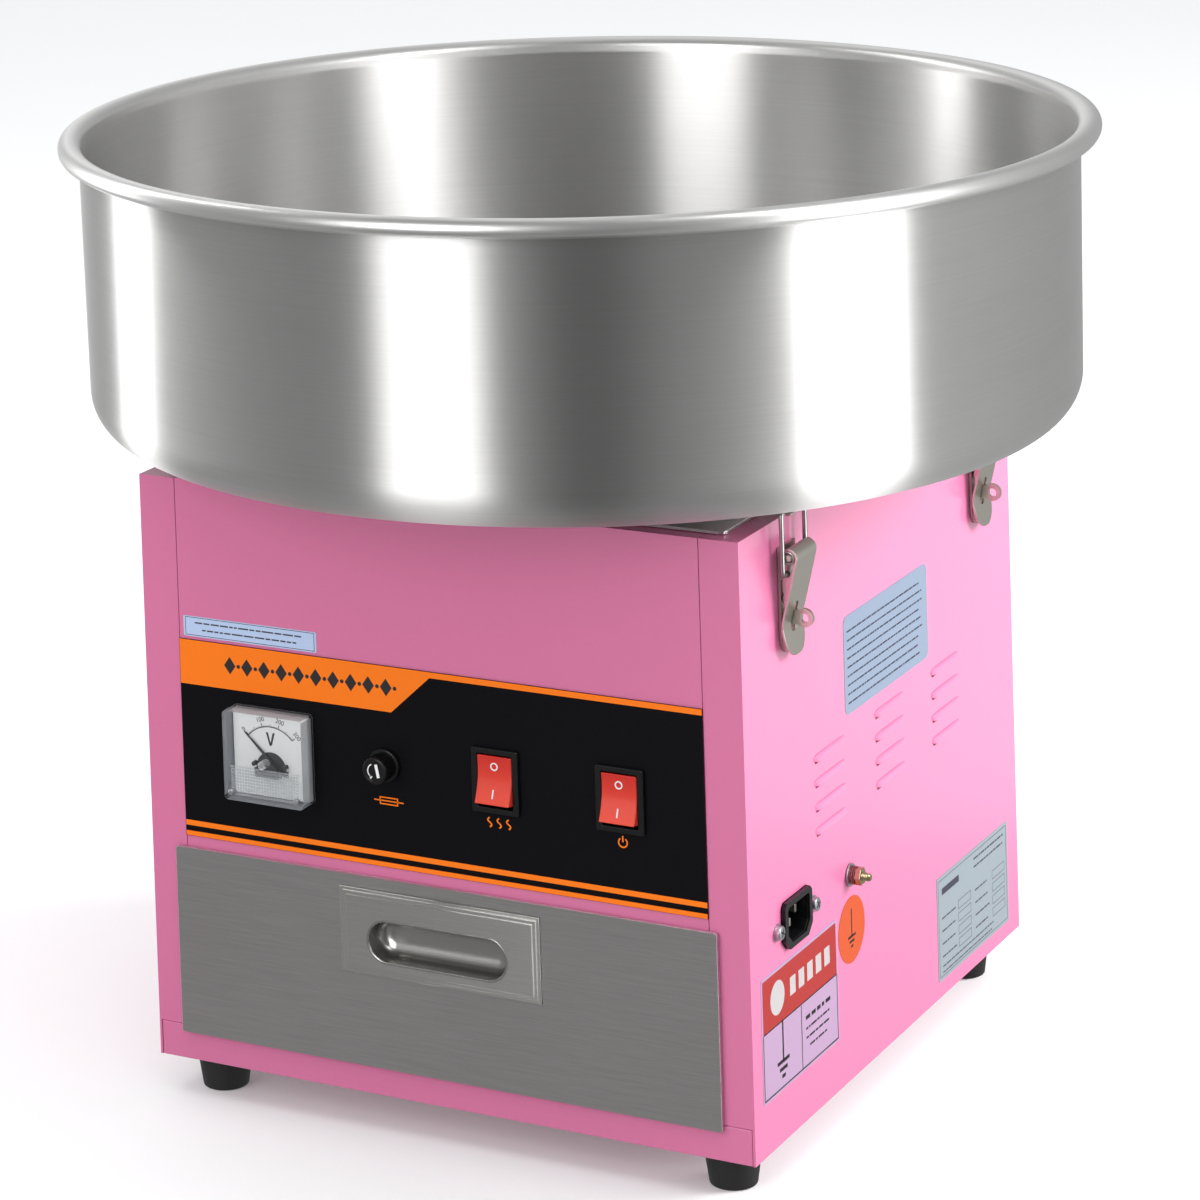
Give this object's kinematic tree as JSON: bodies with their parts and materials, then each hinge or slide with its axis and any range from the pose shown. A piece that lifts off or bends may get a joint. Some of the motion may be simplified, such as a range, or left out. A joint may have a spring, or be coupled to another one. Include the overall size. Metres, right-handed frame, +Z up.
{
  "type": "cotton candy machine",
  "caption": "Countertop sugar-floss maker: sheet-metal casing with drawer and control panel, toggle latches, deep spun bowl round a spinning heated head.",
  "frame": {"origin": "on the floor, under the middle of the casing and of the bowl", "axes": "+Z up, the front with the drawer and the switches faces -Y, +X is to the right when facing the front"},
  "size_m": [0.52, 0.52, 0.4669],
  "materials": {
    "pink_paint": "smooth gloss powder coat",
    "brushed_steel": "stainless sheet brushed sideways",
    "spun_bowl": "spun, with fine rings round the wall",
    "nickel_steel": "satin nickel plate",
    "bail_wire": "bright wire",
    "black_rubber": "matte",
    "printed_film": "printed polycarbonate film, black with orange bands",
    "clear_plastic": "clear polystyrene",
    "dial_white": "printed scale",
    "needle_black": "matte",
    "black_plastic": "moulded",
    "red_plastic": "glossy, translucent red",
    "fuse_glass": "glass tube",
    "brass": "turned",
    "zinc_plate": "galvanised sheet",
    "motor_grey": "satin enamel",
    "machined_steel": "turned",
    "cast_aluminium": "cast and turned",
    "heater_ceramic": "wound ribbon on a ceramic ring",
    "screen_steel": "slotted band",
    "brown_resin": "moulded phenolic"
  },
  "bodies": {
    "casing": {"base_tray": "pink_paint", "left_side_panel": "pink_paint", "right_side_panel": "pink_paint", "front_panel": "pink_paint", "rear_panel": "pink_paint", "deck_plate": "brushed_steel", "control_overlay": "printed_film", "bowl": "spun_bowl", "bowl_seal": "black_rubber", "motor_housing": "motor_grey", "motor_bracket": "zinc_plate", "brush_block": "brown_resin", "meter_cover": "clear_plastic", "meter_body": "dial_white", "fuse_holder": "black_plastic", "heat_switch_frame": "black_plastic", "power_switch_frame": "black_plastic", "power_inlet": "black_plastic", "ground_stud": "brass", "foot_front_right": "black_rubber", "foot_front_left": "black_rubber", "foot_rear_right": "black_rubber", "foot_rear_left": "black_rubber", "latch_base_front_right": "nickel_steel", "latch_base_front_left": "nickel_steel", "latch_base_rear_right": "nickel_steel", "latch_base_rear_left": "nickel_steel", "latch_pin_front_right": "nickel_steel", "latch_pin_front_left": "nickel_steel", "latch_pin_rear_right": "nickel_steel", "latch_pin_rear_left": "nickel_steel", "bowl_hook_front_right": "nickel_steel", "bowl_hook_front_left": "nickel_steel", "bowl_hook_rear_right": "nickel_steel", "bowl_hook_rear_left": "nickel_steel"},
    "drawer": {"drawer_box": "zinc_plate", "drawer_front": "brushed_steel", "drawer_handle": "brushed_steel"},
    "spinning_head": {"motor_shaft": "machined_steel", "slip_ring_carrier": "brown_resin", "slip_ring_lower": "brass", "slip_ring_upper": "brass", "head_pan": "cast_aluminium", "head_heater": "heater_ceramic", "head_screen": "screen_steel", "head_lid": "cast_aluminium", "head_nut": "machined_steel"},
    "heat_key": {"heat_rocker": "red_plastic"},
    "power_key": {"power_rocker": "red_plastic"},
    "fuse_carrier": {"fuse_link": "fuse_glass"},
    "fuse_knob": {"fuse_cap": "black_plastic"},
    "pointer": {"meter_needle": "needle_black"},
    "lever_front_right": {"latch_lever_front_right": "nickel_steel"},
    "bail_front_right": {"latch_bail_front_right": "bail_wire"},
    "lever_front_left": {"latch_lever_front_left": "nickel_steel"},
    "bail_front_left": {"latch_bail_front_left": "bail_wire"},
    "lever_rear_right": {"latch_lever_rear_right": "nickel_steel"},
    "bail_rear_right": {"latch_bail_rear_right": "bail_wire"},
    "lever_rear_left": {"latch_lever_rear_left": "nickel_steel"},
    "bail_rear_left": {"latch_bail_rear_left": "bail_wire"}
  },
  "joints": [
    {"name": "drawer_slide", "type": "slide", "parent": "casing", "child": "drawer", "axis": [0, -1, 0], "range_m": [0, 0.25]},
    {"name": "head_spin", "type": "hinge", "parent": "casing", "child": "spinning_head", "pos_m": [0, 0, 0.33], "axis": [0, 0, 1], "continuous": true},
    {"name": "heat_switch_press", "type": "hinge", "parent": "casing", "child": "heat_key", "pos_m": [0.0329, -0.167, 0.1834], "axis": [1, 0, 0], "range_deg": [0, 20]},
    {"name": "power_switch_press", "type": "hinge", "parent": "casing", "child": "power_key", "pos_m": [0.0976, -0.167, 0.1834], "axis": [1, 0, 0], "range_deg": [0, 20]},
    {"name": "fuse_pull", "type": "slide", "parent": "casing", "child": "fuse_carrier", "axis": [0, -1, 0], "range_m": [0, 0.032]},
    {"name": "fuse_cap_turn", "type": "hinge", "parent": "fuse_carrier", "child": "fuse_knob", "pos_m": [-0.0265, -0.172, 0.1832], "axis": [0, -1, 0], "range_deg": [0, 90]},
    {"name": "meter_needle_swing", "type": "hinge", "parent": "casing", "child": "pointer", "pos_m": [-0.0877, -0.172, 0.1781], "axis": [0, 1, 0], "range_deg": [0, 95]},
    {"name": "latch_lever_front_right_swing", "type": "hinge", "parent": "casing", "child": "lever_front_right", "pos_m": [0.1666, -0.117, 0.293], "axis": [0, -1, 0], "range_deg": [0, 95]},
    {"name": "latch_bail_front_right_swing", "type": "hinge", "parent": "lever_front_right", "child": "bail_front_right", "pos_m": [0.1647, -0.117, 0.285], "axis": [0, -1, 0], "range_deg": [-140, 0]},
    {"name": "latch_lever_front_left_swing", "type": "hinge", "parent": "casing", "child": "lever_front_left", "pos_m": [-0.1666, -0.117, 0.293], "axis": [0, 1, 0], "range_deg": [0, 95]},
    {"name": "latch_bail_front_left_swing", "type": "hinge", "parent": "lever_front_left", "child": "bail_front_left", "pos_m": [-0.1647, -0.117, 0.285], "axis": [0, 1, 0], "range_deg": [-140, 0]},
    {"name": "latch_lever_rear_right_swing", "type": "hinge", "parent": "casing", "child": "lever_rear_right", "pos_m": [0.1666, 0.122, 0.293], "axis": [0, -1, 0], "range_deg": [0, 95]},
    {"name": "latch_bail_rear_right_swing", "type": "hinge", "parent": "lever_rear_right", "child": "bail_rear_right", "pos_m": [0.1647, 0.122, 0.285], "axis": [0, -1, 0], "range_deg": [-140, 0]},
    {"name": "latch_lever_rear_left_swing", "type": "hinge", "parent": "casing", "child": "lever_rear_left", "pos_m": [-0.1666, 0.122, 0.293], "axis": [0, 1, 0], "range_deg": [0, 95]},
    {"name": "latch_bail_rear_left_swing", "type": "hinge", "parent": "lever_rear_left", "child": "bail_rear_left", "pos_m": [-0.1647, 0.122, 0.285], "axis": [0, 1, 0], "range_deg": [-140, 0]}
  ],
  "couplings": [
    {"joint": "latch_bail_front_right_swing", "follows": "latch_lever_front_right_swing", "ratio": -1.45},
    {"joint": "latch_bail_front_left_swing", "follows": "latch_lever_front_left_swing", "ratio": -1.45},
    {"joint": "latch_bail_rear_right_swing", "follows": "latch_lever_rear_right_swing", "ratio": -1.45},
    {"joint": "latch_bail_rear_left_swing", "follows": "latch_lever_rear_left_swing", "ratio": -1.45}
  ]
}
